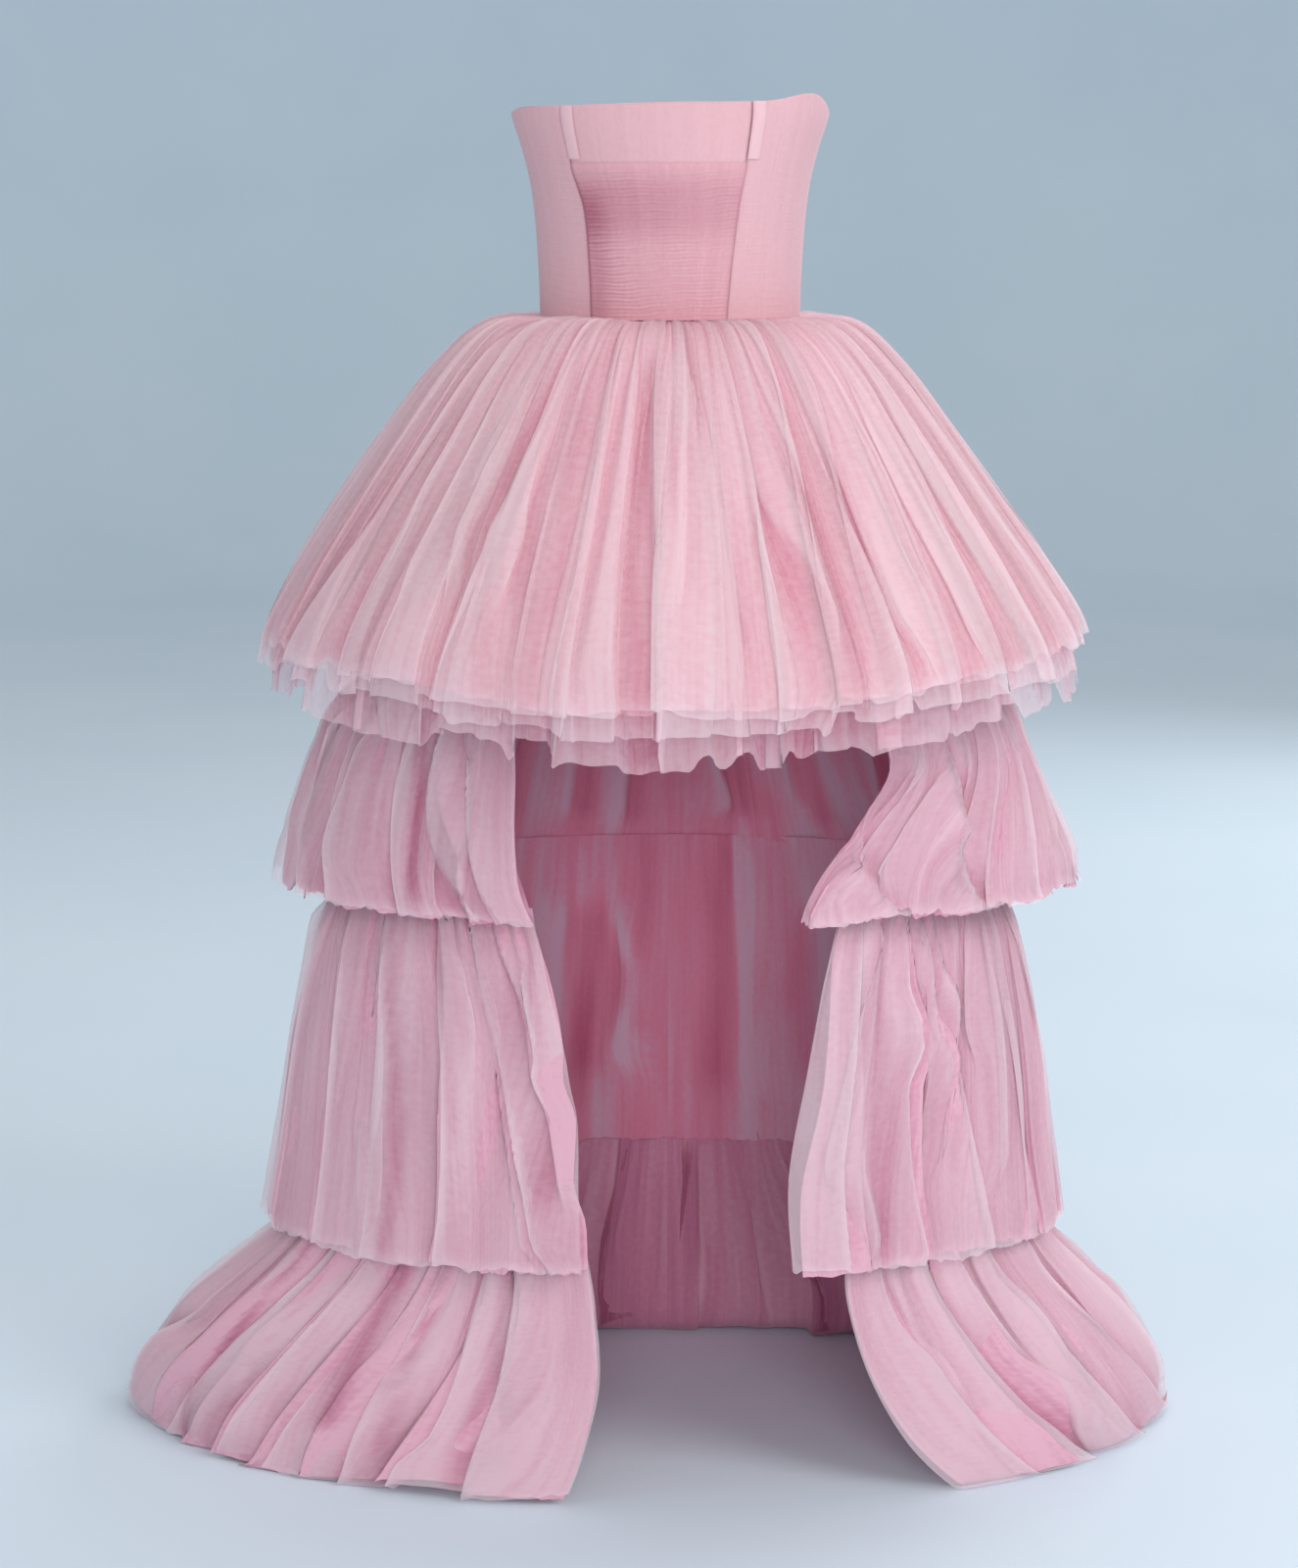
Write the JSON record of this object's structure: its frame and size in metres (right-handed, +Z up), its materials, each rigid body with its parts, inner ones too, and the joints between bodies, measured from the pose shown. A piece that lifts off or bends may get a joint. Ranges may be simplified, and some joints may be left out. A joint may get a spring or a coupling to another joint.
{
  "type": "high-low prom dress",
  "caption": "Strapless pale-pink tulle high-low gown with a ruched boned bodice, a full domed top tier and three long tiers open at the front, sweeping the floor; zipped at the back.",
  "frame": {"origin": "middle of the waist seam, on the dress's upright axis, where the wearer's waist holds it up", "axes": "+Z up, the front faces -Y, +X is the right of someone looking at the front"},
  "size_m": [1.0659, 0.8682, 1.3163],
  "materials": {
    "bodice_tulle": "fine pale-pink tulle drawn over a lined, boned panel",
    "ruched_tulle": "tulle gathered into fine level pleats",
    "channel_tape": "doubled pink tulle strip over a bone",
    "zip_tape": "woven tape with a closed nylon coil",
    "base_cloth": "deep rose tulle layers seen from inside",
    "tier_tulle": "soft sheer tulle in several plies",
    "zip_metal": "pink painted zip metal"
  },
  "bodies": {
    "gown": {"bodice_centre_front": "bodice_tulle", "bodice_side_front_left": "bodice_tulle", "bodice_side_front_right": "bodice_tulle", "bodice_back_left": "bodice_tulle", "bodice_back_right": "bodice_tulle", "ruched_overlay_front": "ruched_tulle", "boning_channel_left": "channel_tape", "boning_channel_right": "channel_tape", "zip_tape_left": "zip_tape", "zip_tape_right": "zip_tape", "skirt_yoke": "base_cloth", "tier_1_outer": "tier_tulle", "tier_1_under": "tier_tulle", "base_2_left": "base_cloth", "base_2_right": "base_cloth", "base_3_left": "base_cloth", "base_3_right": "base_cloth", "tier_2_left": "tier_tulle", "tier_2_right": "tier_tulle", "tier_3_left": "tier_tulle", "tier_3_right": "tier_tulle", "tier_4_left": "tier_tulle", "tier_4_right": "tier_tulle", "zip_slider": "zip_metal"},
    "pull": {"zip_pull": "zip_metal"}
  },
  "joints": [
    {"name": "zip_pull_hinge", "type": "hinge", "parent": "gown", "child": "pull", "pos_m": [0, 0.10018, 0.1599], "axis": [1, 0, 0], "range_deg": [0, 160]}
  ]
}
